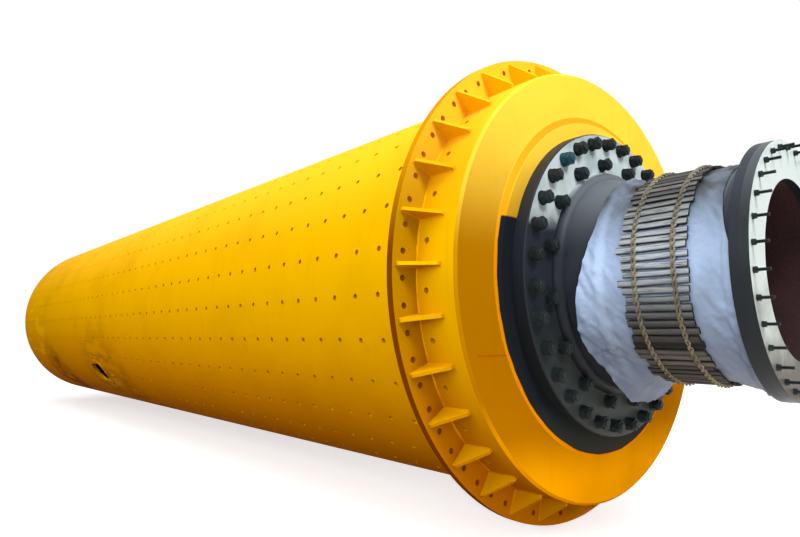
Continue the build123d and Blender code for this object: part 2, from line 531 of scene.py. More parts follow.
@dataclass(frozen=True)
class YellowEnamel(Finish):
    """Air-drying alkyd enamel, sprayed outdoors over rolled plate.

    To the eye it is a strong warm yellow with a low gloss, with fine orange peel, slow waves of the
    plate and a few runs. Painted light makes it paler on top and painted shade ochre underneath.
    """

    name: str = "alkyd_enamel_yellow"
    part: Part = Part.SHELL
    # From below to the top: painted shade, the plain yellow and painted light.
    tones: tuple[str, str, str] = ("#C57B00", "#EEB300", "#FFC42C")
    stops: tuple[float, float, float] = (-0.95, 0.15, 0.95)
    radius: float = DRUM.shell_r
    # The head's face likewise, with a paler band at the very bottom as painted light thrown up from the
    # ground.
    face_tones: tuple[str, str, str, str] = ("#EEA000", "#A86A00", "#B27400", "#FFD040")
    face_stops: tuple[float, float, float, float] = (-0.92, -0.62, 0.05, 0.58)
    grime: str = "#9A5A08"
    roughness: float = 0.38
    # The gloss is all yellow: a clear one would turn grey where the plate is seen edge-on.
    specular: float = 0.0
    metallic: float = 0.12
    tint: str = "#FFA000"
    # Orange peel is about 2 mm across, drawn at 8 mm so that it shows.
    peel_mm: float = 8.0
    # Runs are a few centimetres wide and longer than that by an order.
    run_mm: float = 60.0
    run_length: float = 14.0
    mottle_mm: float = 900.0
    # The pad round the bore is painted over with the dark trunnion paint in its lower half.
    slate: tuple[str, str] = ("#1B2026", "#2C3534")
    slate_to_r: float = 1.248
    slate_top_z: float = 0.374
    slate_edge: float = 0.004
    # The pad's bevel is painted a darker orange, as painted shade on its slanted face.
    bevel_r: tuple[float, float] = (1.215, 1.268)
    bevel: str = "#E08A00"
    bevel_most: float = 0.75
    # A scratch on the near head's face, as the middle and half the reach along each axis.
    scratch: tuple[tuple[float, float], ...] = ((-1.0, 1.0), (-1.285, 0.13), (-0.514, 0.005))
    scratched: str = "#A65600"
    # The gear flange's rim is dark brown, turning orange near the top as painted light, and the
    # walls of its holes are painted darker low down and paler high up in the same way.
    rim_tones: tuple[str, str] = ("#7A3C06", "#C88A08")
    hole_tones: tuple[str, str] = ("#9C5E08", "#D8900E")
    rim_r: float = 1.79
    # Dirt, scrapes and a painted reflection: (place along the axis, angle), reach, the noise's low
    # and high, tone, most.
    marks: tuple[tuple[tuple[float, float], float, float, float, str, float], ...] = (
        ((-9.1, -134.0), 1.3, 0.4, 0.65, "#6E3A06", 0.6),
        ((-9.3, -122.0), 0.9, 0.56, 0.64, "#FFBE20", 0.5),
        ((-12.4, -136.0), 1.0, 0.35, 0.6, "#6E3204", 0.75),
        # A painted reflection: pale streaks along the plate near the far end.
        ((-13.2, -99.0), 1.2, 0.52, 0.6, "#FFC410", 0.55),
    )

    def look(self, tree: NodeTree, coords: Node) -> dict:
        """Draw the enamel with its part's own marks.

        Args:
            tree: the material's tree.
            coords: the texture coordinates.

        Returns:
            What the shader's other inputs get.
        """
        where = coords.outputs["Object"]
        paint = painted_light_by_height(tree, coords, self.radius, self.tones, self.stops)
        if self.part is Part.HEAD:
            face = painted_light_by_height(tree, coords, self.radius / 2, self.face_tones, self.face_stops)
            share = put(tree, "MapRange", {0: end_on(tree, coords), 1: 0.3, 2: 0.8})
            paint = layered(tree, paint, (face, share))
        mottle = put(tree, "TexNoise", {"Vector": where, "Scale": 1000 / self.mottle_mm, "Detail": 4})
        scale = 1000 / self.run_mm
        drawn = put(tree, "Mapping", {0: where, 3: (scale, scale, scale / self.run_length)})
        runs = put(tree, "TexNoise", {"Vector": drawn, "Scale": 1.0, "Detail": 3})
        for pattern, low, high, most in ((mottle, 0.48, 0.8, 0.22), (runs, 0.6, 0.85, 0.16)):
            share = put(tree, "MapRange", {0: pattern, 1: low, 2: high, 4: most})
            paint = layered(tree, paint, (self.grime, share))
        own_marks = {Part.SHELL: self._scuffs_and_reflections, Part.HEAD: self._pad, Part.FLANGE: self._rim}[self.part]
        peel = put(tree, "TexNoise", {"Vector": where, "Scale": 1000 / self.peel_mm, "Detail": 2})
        fine = put(tree, "Bump", {"Strength": 0.1, "Distance": 0.002, "Height": peel})
        plate = put(tree, "TexNoise", {"Vector": where, "Scale": 1.6, "Detail": 2})
        slow = put(tree, "Bump", {"Strength": 0.3, "Distance": 0.03, "Height": plate, "Normal": fine})
        return {
            "Base Color": own_marks(tree, coords, paint),
            "Metallic": self.metallic,
            "Specular Tint": self.tint,
            "Normal": slow,
        }

    def _scuffs_and_reflections(self, tree: NodeTree, coords: Node, paint: Node) -> Node:
        """Dirty and scrape the paint round the manhole and low down near the far end, and paint pale
        reflection streaks along the plate near the far end.

        Args:
            tree: the material's tree.
            coords: the texture coordinates.
            paint: the colour so far.

        Returns:
            The colour with the marks on it.
        """
        where = coords.outputs["Object"]
        drawn = put(tree, "Mapping", {0: where, 3: (1.6, 5.0, 5.0)})
        streaky_noise = put(tree, "TexNoise", {"Vector": drawn, "Scale": 1.0, "Detail": 5})
        for (x, degrees), reach, low, high, tone, most in self.marks:
            middle = on_drum(x, degrees, DRUM.shell_r)
            far = put(tree, "VectorMath", {0: where, 1: middle}, operation="DISTANCE")
            near = put(
                tree, "MapRange", {0: far, 1: reach, 2: 0.35 * reach}, interpolation_type="SMOOTHSTEP"
            )
            streak = put(tree, "MapRange", {0: streaky_noise, 1: low, 2: high, 4: most})
            paint = layered(tree, paint, (tone, near, streak))
        return paint

    def _pad(self, tree: NodeTree, coords: Node, paint: Node) -> Node:
        """Lay the dark paint over the pad's lower half, paint shade on its bevel and scratch the face.

        Args:
            tree: the material's tree.
            coords: the texture coordinates.
            paint: the colour so far.

        Returns:
            The colour with the pad on it.
        """
        where = coords.outputs["Object"]
        place = put(tree, "SeparateXYZ", {0: where})
        radius = off_axis(tree, place)
        edge = put(tree, "TexNoise", {"Vector": where, "Scale": 4.0, "Detail": 3})
        ragged = put(tree, "MapRange", {0: edge, 1: 0.3, 2: 0.7, 3: -self.slate_edge, 4: self.slate_edge})
        uneven = put(tree, "Math", {0: radius, 1: ragged}, operation="ADD")
        low, high = self.bevel_r
        top, rim, soft = self.slate_top_z, self.slate_to_r, 0.006
        from_low, to_high, inside, below, low_down = (
            put(tree, "MapRange", {0: source, 1: start, 2: end})
            for source, start, end in (
                (radius, low, low + soft),
                (radius, high, high - soft),
                (uneven, rim, rim - self.slate_edge),
                (place.outputs["Z"], top, top - 2 * soft),
                (place.outputs["Z"], -0.8, -1.2),
            )
        )
        dark, dusty = self.slate
        bounds = [
            put(tree, "Math", {0: place.outputs[axis], 1: middle, 2: reach}, operation="COMPARE")
            for axis, (middle, reach) in zip("XYZ", self.scratch)
        ]
        coats = (
            # Painted shade on the bevel.
            (self.bevel, from_low, to_high, self.bevel_most),
            (layered(tree, dark, (dusty, low_down)), inside, below),
            (self.scratched, *bounds),
        )
        return layered(tree, paint, *coats)

    def _rim(self, tree: NodeTree, coords: Node, paint: Node) -> Node:
        """Paint the flange's rim dark brown and the walls of its holes their own tones, both paler near the
        top as painted light.

        Args:
            tree: the material's tree.
            coords: the texture coordinates.
            paint: the colour so far.

        Returns:
            The colour with the rim and the holes on it.
        """
        place = put(tree, "SeparateXYZ", {0: coords.outputs["Object"]})
        wall, at_rim, high = (
            put(tree, "MapRange", {0: source, 1: start, 2: end})
            for source, start, end in (
                (end_on(tree, coords), 0.6, 0.4),
                (off_axis(tree, place), self.rim_r, self.rim_r + 0.002),
                (place.outputs["Z"], 0.1, 0.8),
            )
        )
        rim, hole = (layered(tree, low, (top, high)) for low, top in (self.rim_tones, self.hole_tones))
        return layered(tree, paint, (layered(tree, hole, (rim, at_rim)), wall))


@dataclass(frozen=True)
class SlatePaint(Finish):
    """Dark oil paint brushed on a rough-turned casting.

    To the eye it is a blue-black with a low gloss, paler towards the top as painted light. The
    bolting flange's upper face is a chalky pale grey, partly chalky bloom and partly a painted
    reflection of the sky, the top of the neck is a middle grey of painted light, and a painted
    highlight runs along the top of the neck's root.
    """

    name: str = "oil_paint_slate"
    dark: str = "#1B1F22"
    slate: str = "#282C34"
    # Chalky bloom together with painted light: a painted sky reflection on the flange's upper face and a
    # painted highlight on the neck's root.
    chalk_and_painted_light: str = "#C0CCCE"
    worn_chalk: str = "#8A9692"
    # Painted light on top of the neck.
    neck: str = "#60666B"
    dusty: str = "#343A3A"
    roughness: float = 0.45
    specular: float = 0.1
    # Brush marks are about 3 mm wide, drawn at 9 mm.
    brush_mm: float = 9.0
    # Where the chalky bloom and the painted sky reflection start on the flange's face.
    chalk_and_light_z: float = 0.36
    # The neck is this long, from the bolting flange's face to the journal's collar.
    neck_length: float = 1.0

    def look(self, tree: NodeTree, coords: Node) -> dict:
        """Draw the paint, bleached and dusty where the weather reached it.

        Args:
            tree: the material's tree.
            coords: the texture coordinates.

        Returns:
            What the shader's other inputs get.
        """
        where = coords.outputs["Object"]
        place = put(tree, "SeparateXYZ", {0: where})
        z = place.outputs["Z"]
        along = put(tree, "Math", {0: place.outputs["X"], 1: DRUM.mid_x}, operation="SUBTRACT")
        reach = put(tree, "Math", {0: along}, operation="ABSOLUTE")
        clouds = put(tree, "TexNoise", {"Vector": where, "Scale": 4.5, "Detail": 8})
        waver = put(tree, "MapRange", {0: clouds, 1: 0.2, 2: 0.8, 3: -0.12, 4: 0.12})
        height = put(tree, "Math", {0: z, 1: waver}, operation="ADD")
        face = DRUM.trunnion_face_x - DRUM.mid_x
        collar = face + self.neck_length
        # Each share rises from 0 to 1 between two values of what it is read from.
        grey, above, neck_top = (
            put(tree, "MapRange", {0: source, 1: start, 2: end}, interpolation_type="SMOOTHSTEP")
            for source, start, end in (
                (z, -0.7, 0.6),
                (height, self.chalk_and_light_z - 0.08, self.chalk_and_light_z + 0.1),
                (z, 0.1, 0.72),
            )
        )
        flat, low_down, beyond, short, root, on_top = (
            put(tree, "MapRange", {0: source, 1: start, 2: end})
            for source, start, end in (
                (end_on(tree, coords), 0.85, 0.95),
                (z, -0.3, -0.8),
                (reach, face + 0.01, face + 0.05),
                (reach, collar + 0.05, collar),
                (reach, face + 0.04, face + 0.01),
                (height, 0.5, 0.66),
            )
        )
        worn = put(tree, "MapRange", {0: clouds, 1: 0.42, 2: 0.68, 4: 0.75})
        on_flange = put(tree, "Math", {0: reach, 1: face - 0.03, 2: 0.04}, operation="COMPARE")
        past_face = put(tree, "Math", {0: reach, 1: face + 0.001}, operation="GREATER_THAN")
        coats = (
            # Painted light: the slate tone rises over the dark one towards the top.
            (self.slate, grey),
            (self.dusty, on_flange, flat, low_down),
            # The flange's upper face: chalky bloom and a painted reflection of the sky.
            (layered(tree, self.chalk_and_painted_light, (self.worn_chalk, worn)), on_flange, flat, above),
            # Painted light on top of the neck.
            (self.neck, beyond, short, neck_top),
            # A painted highlight in the chalk tone runs along the top of the neck's root.
            (self.chalk_and_painted_light, root, on_top, past_face),
        )
        brush = put(tree, "TexNoise", {"Vector": where, "Scale": 1000 / self.brush_mm, "Detail": 3})
        bump = put(tree, "Bump", {"Strength": 0.25, "Distance": 0.002, "Height": brush})
        return {"Base Color": layered(tree, self.dark, *coats), "Normal": bump}


@dataclass(frozen=True)
class TurnedSteel(Finish):
    """Carbon steel faced on a lathe, with the rim painted and the edge of the face left bare.

    To the eye the face is a pale greenish silver with fine rings round the bore, turning grey-brown
    towards the bottom, and the rim is green-black, darker below and paler on top as painted shade
    and light.
    """

    name: str = "turned_steel_face"
    bright: str = "#D2DFDC"
    low_grey_brown: str = "#55524A"
    # The rim's tones are painted shade below and painted light on top.
    rim_tones: tuple[str, str, str] = ("#0A0E10", "#191F22", "#3C4348")
    rim_r: float = 0.75
    roughness: float = 0.42
    specular: float = 0.15
    metallic: float = 0.12
    # Turning marks are under 1 mm apart, drawn at 7 mm.
    mark_mm: float = 7.0

    def look(self, tree: NodeTree, coords: Node) -> dict:
        """Draw the turned face and the painted rim.

        Args:
            tree: the material's tree.
            coords: the texture coordinates.

        Returns:
            What the shader's other inputs get.
        """
        where = coords.outputs["Object"]
        place = put(tree, "SeparateXYZ", {0: where})
        on_face = put(tree, "MapRange", {0: end_on(tree, coords), 1: 0.6, 2: 0.8})
        clouds = put(tree, "TexNoise", {"Vector": where, "Scale": 3.0, "Detail": 6})
        waver = put(tree, "MapRange", {0: clouds, 1: 0.25, 2: 0.75, 3: -0.2, 4: 0.2})
        height = put(tree, "Math", {0: place.outputs["Z"], 1: waver}, operation="ADD")
        towards_bottom = put(tree, "MapRange", {0: height, 1: -0.1, 2: -0.6}, interpolation_type="SMOOTHSTEP")
        rim = painted_light_by_height(tree, coords, self.rim_r, self.rim_tones)
        tone = layered(tree, rim, (layered(tree, self.bright, (self.low_grey_brown, towards_bottom)), on_face))
        per_metre = 2000 * math.pi / self.mark_mm
        turns = put(tree, "Math", {0: off_axis(tree, place), 1: per_metre}, operation="MULTIPLY")
        wave = put(tree, "Math", {0: turns}, operation="SINE")
        bump = put(tree, "Bump", {"Strength": 0.2, "Distance": 0.0006, "Height": wave})
        metal = put(tree, "Math", {0: on_face, 1: self.metallic}, operation="MULTIPLY")
        return {"Base Color": tone, "Metallic": metal, "Normal": bump}


@dataclass(frozen=True)
class SpeckledPaint(Finish):
    """A plain paint or oxide skin with a second tone in specks and clouds.

    To the eye it is one dull colour that a second one breaks up at two scales.
    """

    name: str
    first: str
    second: str
    roughness: float
    specular: float = 0.2
    cloud_mm: float = 300.0
    speck_mm: float = 12.0
    depth_mm: float = 0.6

    def look(self, tree: NodeTree, coords: Node) -> dict:
        """Draw the two tones.

        Args:
            tree: the material's tree.
            coords: the texture coordinates.

        Returns:
            What the shader's other inputs get.
        """
        where = coords.outputs["Object"]
        clouds, specks = (
            put(tree, "TexNoise", {"Vector": where, "Scale": 1000 / size_mm, "Detail": detail})
            for size_mm, detail in ((self.cloud_mm, 4), (self.speck_mm, 3))
        )
        both = put(tree, "Math", {0: clouds, 1: specks}, operation="ADD")
        share = put(tree, "MapRange", {0: both, 1: 0.8, 2: 1.3})
        bump = put(tree, "Bump", {"Strength": 0.4, "Distance": self.depth_mm / 1000, "Height": specks})
        return {"Base Color": layered(tree, self.first, (self.second, share)), "Normal": bump}


@dataclass(frozen=True)
class WovenSheeting(Finish):
    """Sheeting woven from flat polypropylene tape.

    To the eye it is a pale blue-grey, smooth from afar and crossed by fine tapes close to, with
    greyer bands where dirt lies in the folds. Painted light makes it brightest at mid-height, with
    painted shade below and a darker painted shade on top.
    """

    name: str = "woven_polypropylene_sheeting"
    # From below to the top: painted shade, the lit blue-grey and a darker painted shade on top.
    tones: tuple[str, str, str] = ("#6A7995", "#AEC6E6", "#2E3333")
    stops: tuple[float, float, float] = (-0.8, 0.0, 0.78)
    soiled: str = "#8593AC"
    roughness: float = 0.55
    specular: float = 0.2
    # A hand's breadth of grease runs round the cloth low down beside the laths. It has a place
    # along the axis, an angle and a radius, and is longer along the axis than round it.
    grease: str = "#3E4656"
    grease_at: tuple[float, float, float] = (-0.93, -132.0, 0.74)
    grease_squeeze: tuple[float, float, float] = (0.6, 2.6, 2.6)
    # Tapes are about 3 mm wide, drawn at 6 mm.
    tape_mm: float = 6.0

    def look(self, tree: NodeTree, coords: Node) -> dict:
        """Draw the sheeting, its soiled bands and the grease.

        Args:
            tree: the material's tree.
            coords: the texture coordinates.

        Returns:
            What the shader's other inputs get.
        """
        where = coords.outputs["Object"]
        base = painted_light_by_height(tree, coords, DRUM.journal_r, self.tones, self.stops)
        clouds = put(tree, "TexNoise", {"Vector": where, "Scale": 5.0, "Detail": 5})
        soiled = put(tree, "MapRange", {0: clouds, 1: 0.45, 2: 0.8, 4: 0.6})
        away = put(tree, "VectorMath", {0: where, 1: on_drum(*self.grease_at)}, operation="SUBTRACT")
        squeezed = put(tree, "VectorMath", {0: away, 1: self.grease_squeeze}, operation="MULTIPLY")
        far = put(tree, "VectorMath", {0: squeezed}, operation="LENGTH")
        near = put(tree, "MapRange", {0: far, 1: 0.11, 2: 0.04})
        grain = put(tree, "TexNoise", {"Vector": where, "Scale": 34.0, "Detail": 4})
        patchy = put(tree, "MapRange", {0: grain, 1: 0.4, 2: 0.6, 4: 0.55})
        coats = ((self.soiled, soiled), (self.grease, near, patchy))
        cut = put(tree, "UVMap", uv_map="cut")
        warp, weft = (
            put(
                tree,
                "TexWave",
                {"Vector": cut, "Scale": 1000 / self.tape_mm / 3.14},
                wave_type="BANDS",
                bands_direction=way,
            )
            for way in "XY"
        )
        weave = put(tree, "Math", {0: warp.outputs["Fac"], 1: weft.outputs["Fac"]}, operation="ADD")
        creases = put(tree, "TexNoise", {"Vector": where, "Scale": 30.0, "Detail": 5})
        fine = put(tree, "Bump", {"Strength": 0.15, "Distance": 0.001, "Height": weave})
        bump = put(tree, "Bump", {"Strength": 0.5, "Distance": 0.01, "Height": creases, "Normal": fine})
        return {"Base Color": layered(tree, base, *coats), "Normal": bump}


@dataclass(frozen=True)
class WeatheredSoftwood(Finish):
    """Rough-sawn softwood left out in the rain.

    To the eye it is a grey-brown with darker grain along each lath, and some laths are paler than
    others. Painted shade darkens each lath's sides and edges so that the gaps between laths read
    dark, and painted light makes the laths brightest at mid-height, near black below and darker
    on top.
    """

    name: str = "weathered_softwood"
    # From below to the top: painted shade near black, the lit grey and painted shade on top.
    tones: tuple[str, str, str] = ("#0B0B0B", "#B4BEC3", "#3A3938")
    stops: tuple[float, float, float] = (-0.6, 0.08, 0.8)
    pale: str = "#A9ABA6"
    paleness: float = 0.3
    # Darker grain, and painted shade on each lath's sides and edges.
    dark: str = "#282524"
    roughness: float = 0.8
    specular: float = 0.15
    # Grain lines are 2 mm apart, drawn at 5 mm.
    grain_mm: float = 5.0
    grain_length: float = 25.0

    def look(self, tree: NodeTree, coords: Node) -> dict:
        """Draw the wood, from each lath's own tone.

        Args:
            tree: the material's tree.
            coords: the texture coordinates.

        Returns:
            What the shader's other inputs get.
        """
        tone, across = (
            put(tree, "Attribute", attribute_name=name).outputs["Fac"] for name in ("tone", "across")
        )
        side = painted_light_by_height(tree, coords, DRUM.journal_r, self.tones, self.stops)
        base = layered(tree, side, (self.pale, tone, self.paleness))
        scale = 1000 / self.grain_mm
        drawn = put(
            tree, "Mapping", {0: coords.outputs["Object"], 3: (scale / self.grain_length, scale, scale)}
        )
        grain = put(tree, "TexNoise", {"Vector": drawn, "Scale": 1.0, "Detail": 4})
        place = put(tree, "SeparateXYZ", {0: coords.outputs["Object"]})
        out = off_axis(tree, place, "NORMALIZE")
        facing = put(tree, "VectorMath", {0: out, 1: coords.outputs["Normal"]}, operation="DOT_PRODUCT")
        from_middle = put(tree, "Math", {0: across}, operation="ABSOLUTE")
        # Painted shade where the surface turns away from facing out and towards each lath's edges, and the
        # grain.
        share, *others = (
            put(tree, "MapRange", {0: source, 1: start, 2: end, 4: most})
            for source, start, end, most in (
                (facing, 0.97, 0.8, 1.0),
                (grain, 0.5, 0.72, 1.0),
                (from_middle, 0.5, 0.85, 0.8),
            )
        )
        for other in others:
            share = put(tree, "Math", {0: share, 1: other}, operation="MAXIMUM")
        bump = put(tree, "Bump", {"Strength": 0.5, "Distance": 0.002, "Height": grain})
        return {"Base Color": layered(tree, base, (self.dark, share)), "Normal": bump}


# Sub-assemblies


@dataclass
class Shell:
    """The shell's four courses with every liner bolt hole as a real opening, and the manhole."""

    ring_pitch: float = 0.25
    ring_count: int = 49
    last_ring_x: float = -14.017
    near_ring_x: float = -1.547
    joints: tuple[float, ...] = (-4.392, -7.642, -10.892)
    hole_r: float = 0.02
    hole_sides: int = 12
    land_r: float = 0.045
    manhole_x: float = -9.497
    manhole_deg: float = -127.5
    manhole: tuple[float, float, float] = (0.5, 0.35, 0.12)
    manhole_line: int = 21

    def build(self, outside: Material, inside: Material) -> None:
        """Model the courses and let them stand for the plain ones.

        Args:
            outside: the paint of the outer face.
            inside: the bare plate of the inner face and the holes.
        """
        sheet = self._sheet()
        edges = (DRUM.near_edge_x, *self.joints, DRUM.far_edge_x)
        for number in range(1, len(edges)):
            course = self._course(sheet, number, edges[number], edges[number - 1])
            install(course, (outside, inside), (f"shell_course_{number}",))
        bpy.data.objects.remove(sheet)

    def _tile(self, length: float) -> Piece:
        """Model one flat tile of plate round one hole.

        Args:
            length: the tile's length along the drum.

        Returns:
            The tile, one line pitch wide and centred on the origin.
        """
        half_side = math.pi / self.hole_sides
        centre = {"center_override": (0, 0, 0)}
        tile = add(
            "circle",
            vertices=self.hole_sides,
            radius=self.hole_r,
            fill_type="NOTHING",
            rotation=(0, 0, half_side),
        )
        corner_r = length / math.sqrt(2)
        with picked(tile, lambda edge: True, Pick.EDGES):
            for grow in (self.land_r / self.hole_r, corner_r / self.land_r):
                bpy.ops.mesh.extrude_edges_move()
                bpy.ops.transform.resize(value=(grow, grow, 1), **centre)
        # The outer ring of corners is pulled out to a square and then to the tile's own shape.
        pull = 0.5 / (math.cos(half_side) / math.sqrt(2))
        moves = (
            (lambda place: abs(place.x) > 0.55 * length, (pull, 1, 1)),
            (lambda place: abs(place.y) > 0.55 * length, (1, pull, 1)),
            (lambda place: max(abs(place.x), abs(place.y)) > 0.49 * length, (1, DRUM.arc / length, 1)),
        )
        for chosen, value in moves:
            with picked(tile, lambda corner: chosen(corner.co), Pick.CORNERS):
                bpy.ops.transform.resize(value=value, **centre)
        return tile

    def _sheet(self) -> Piece:
        """Lay out the whole shell flat, with its blank strips, and roll it into a cylinder.

        Returns:
            The shell's outer face as an open mesh.
        """
        field = self._tile(self.ring_pitch)
        repeat(field, self.ring_count, (self.ring_pitch, 0, 0))
        shift(field, (self.last_ring_x, 0, 0))
        near_length = 2 * (DRUM.near_edge_x - self.near_ring_x)
        near = self._tile(near_length)
        shift(near, (self.near_ring_x, 0, 0))
        field_near_x = self.last_ring_x + (self.ring_count - 0.5) * self.ring_pitch
        field_far_x = self.last_ring_x - self.ring_pitch / 2
        gap = self.near_ring_x - near_length / 2 - field_near_x
        for place, blank in ((field_near_x, gap), (field_far_x, DRUM.far_edge_x - field_far_x)):
            with picked(field, lambda edge: abs(edge_middle(edge).x - place) < 1e-4, Pick.EDGES):
                bpy.ops.mesh.extrude_edges_move(TRANSFORM_OT_translate={"value": (blank, 0, 0)})
        sheet = join((field, near), "shell_sheet")
        repeat(sheet, DRUM.lines, (0, DRUM.arc, 0))
        for corner in sheet.data.vertices:
            angle = DRUM.first_line + math.degrees(corner.co.y / DRUM.shell_r)
            corner.co = on_drum(corner.co.x, angle, DRUM.shell_r)
        with picked(sheet, lambda corner: True, Pick.CORNERS):
            bpy.ops.mesh.remove_doubles(threshold=0.0003)
        face_outwards(sheet)
        return sheet

    def _course(self, sheet: Piece, number: int, from_x: float, to_x: float) -> Piece:
        """Cut one course out of the rolled sheet and give it its thickness.

        Args:
            sheet: the shell's outer face.
            number: the course's number from the near end.
            from_x: the course's far edge.
            to_x: the course's near edge.

        Returns:
            The course.
        """
        course = copy_of(sheet, f"shell_course_{number}_drilled")
        with picked(course, lambda face: not from_x < face.calc_center_median().x < to_x, Pick.FACES):
            bpy.ops.mesh.delete(type="FACE")
        for _ in range(2):
            course.data.materials.append(None)
        with_manhole = from_x < self.manhole_x < to_x
        if with_manhole:
            self._close_holes(course)
        modify(course, "SOLIDIFY", thickness=DRUM.wall, offset=-1, material_offset=1, material_offset_rim=1)
        if with_manhole:
            self._cut_manhole(course)
        self._round_normals(course)
        return course

    def _close_holes(self, course: Piece) -> None:
        """Close the liner bolt holes that would lie under the manhole's frame.

        Args:
            course: the open course.
        """
        degrees = DRUM.first_line + self.manhole_line * DRUM.pitch
        middle = round((self.manhole_x - self.last_ring_x) / self.ring_pitch)
        for ring in (middle - 1, middle, middle + 1):
            centre = on_drum(self.last_ring_x + ring * self.ring_pitch, degrees, DRUM.shell_r)
            with picked(
                course,
                lambda edge: edge.is_boundary and (edge_middle(edge) - centre).length < 1.2 * self.hole_r,
                Pick.EDGES,
            ):
                bpy.ops.mesh.edge_face_add()

    def _cut_manhole(self, course: Piece) -> None:
        """Cut the rounded manhole through the course.

        Args:
            course: the course with its thickness.
        """
        length, width, corner = self.manhole
        cutter = add("cube", size=1, scale=(length, width, width))
        with picked(cutter, lambda edge: abs(edge_span(edge).z) > width / 2, Pick.EDGES):
            bpy.ops.mesh.bevel(offset=corner, segments=6)
        shift(cutter, (0, 0, DRUM.shell_r))
        cutter.data.transform(turn(self.manhole_deg))
        shift(cutter, (self.manhole_x, 0, 0))
        modify(course, "BOOLEAN", object=cutter, operation="DIFFERENCE", solver="EXACT")
        bpy.data.objects.remove(cutter)

    def _round_normals(self, course: Piece) -> None:
        """Shade the plate's two faces as true cylinders and its edges flat.

        Args:
            course: the finished course.
        """
        mesh = course.data
        mesh.polygons.foreach_set("use_smooth", [True] * len(mesh.polygons))
        normals = [Vector((0, 0, 0))] * len(mesh.loops)
        for face in mesh.polygons:
            side = face.normal.dot(Vector((0, face.center.y, face.center.z)).normalized())
            for loop in face.loop_indices:
                corner = mesh.vertices[mesh.loops[loop].vertex_index].co
                if abs(side) > 0.95:
                    out = Vector((0, corner.y, corner.z)).normalized()
                    normals[loop] = out if side > 0 else -out
                else:
                    normals[loop] = face.normal.copy()
        mesh.normals_split_custom_set(normals)


@dataclass(frozen=True)
class Fastening:
    """A stud or bolt along +X at the origin: a washer, nuts and a threaded rod.

    The nuts are (height, turn in degrees) from the washer outwards, and gap lies between them.
    """

    rod_r: float
    standing: float
    thread: float
    flats: float
    washer_r: float
    washer_plate: float
    nuts: tuple[tuple[float, float], ...]
    gap: float
    rod_from: float
    sides: int

    def build(self, name: str) -> Piece:
        """Model the fastening.

        Args:
            name: its name.

        Returns:
            The fastening.
        """
        parts = [self._washer()]
        start = self.washer_plate
        for height, turned in self.nuts:
            parts.append(self._nut(start, height, turned))
            start += height + self.gap
        parts.append(self._rod())
        made = join(parts, name)
        shade(made, 25)
        return made

    def _round(self, vertices: int, radius: float, start: float, depth: float) -> Piece:
        """Model a plain cylinder along +X.

        Args:
            vertices: how many sides it has.
            radius: its radius.
            start: where it starts.
            depth: its length.

        Returns:
            The cylinder.
        """
        place = {"location": (start + depth / 2, 0, 0), "rotation": (0, math.pi / 2, 0)}
        return add("cylinder", vertices=vertices, radius=radius, depth=depth, **place)

    def _rod(self) -> Piece:
        """Model the threaded rod with its chamfered tip.

        Returns:
            The rod.
        """
        thread = self.thread
        rod = self._round(self.sides, self.rod_r, self.rod_from, thread / 2)
        root = 1 - 0.7 * thread / self.rod_r
        steps = [root, 1 / root] * (int((self.standing - self.rod_from) / thread) - 1) + [0.8]
        with picked(rod, lambda face: face.normal.x > 0.9, Pick.FACES):
            for grow in steps:
                bpy.ops.mesh.extrude_region_move(TRANSFORM_OT_translate={"value": (thread / 2, 0, 0)})
                bpy.ops.transform.resize(value=(1, grow, grow), center_override=(0, 0, 0))
        return rod

    def _nut(self, start: float, height: float, turned: float) -> Piece:
        """Model a chamfered hexagon nut.

        Args:
            start: where the nut starts.
            height: the nut's height.
            turned: the nut's turn in degrees.

        Returns:
            The nut.
        """
        nut = self._round(6, self.flats / math.sqrt(3), start, height)
        for side in (1, -1):
            with picked(nut, lambda face: face.normal.x * side > 0.9, Pick.FACES):
                bpy.ops.mesh.inset(thickness=self.flats * 0.07)
                bpy.ops.transform.translate(value=(side * height * 0.06, 0, 0))
        nut.data.transform(Matrix.Rotation(math.radians(turned), 4, "X"))
        return nut

    def _washer(self) -> Piece:
        """Model the washer.

        Returns:
            The washer.
        """
        washer = self._round(20, self.washer_r, 0, self.washer_plate)
        with picked(washer, lambda face: face.normal.x > 0.9, Pick.FACES):
            bpy.ops.mesh.bevel(offset=self.washer_plate * 0.25, segments=1)
        return washer


@dataclass
class TrunnionBolts:
    """The bolts between heads and trunnions, each a rod with a nut and a thin lock nut."""

    # The rings of bolts: radius, count and the first bolt's angle.
    rings: tuple[tuple[float, int, float], ...] = ((1.034, 32, -4.5), (0.875, 16, -9.9))
    # The near end's bolt that differs: its angle and radius, and how far its nuts reach.
    odd_deg: float = -38.25
    odd_r: float = 1.034
    odd_reach: float = 0.104
    bolt: Fastening = Fastening(
        rod_r=0.029,
        standing=0.088,
        thread=0.01,
        flats=0.08,
        washer_r=0.0496,
        washer_plate=0.005,
        nuts=((0.034, 8), (0.024, 27)),
        gap=0.004,
        rod_from=0.07,
        sides=12,
    )

    def build(self, finish: Material, odd: Material) -> None:
        """Model both ends' bolts.

        Args:
            finish: the bolts' material.
            odd: the finish of the one bolt that differs.
        """
        bolt = self.bolt.build("bolt")
        rings = []
        for radius, count, first in self.rings:
            one = copy_of(bolt, "one", Matrix.Translation((DRUM.trunnion_face_x, 0, radius)))
            rings.append(ring_of(one, [first + step * 360 / count for step in range(count)], "ring"))
        bpy.data.objects.remove(bolt)
        near = join(rings, "trunnion_bolts_near")
        install(mirrored(near, "trunnion_bolts_far"), (finish,))
        install(near, (finish, odd))
        odd_place = on_drum(DRUM.trunnion_face_x, self.odd_deg, self.odd_r)
        for face in near.data.polygons:
            if (face.center - odd_place).length < self.odd_reach:
                face.material_index = 1


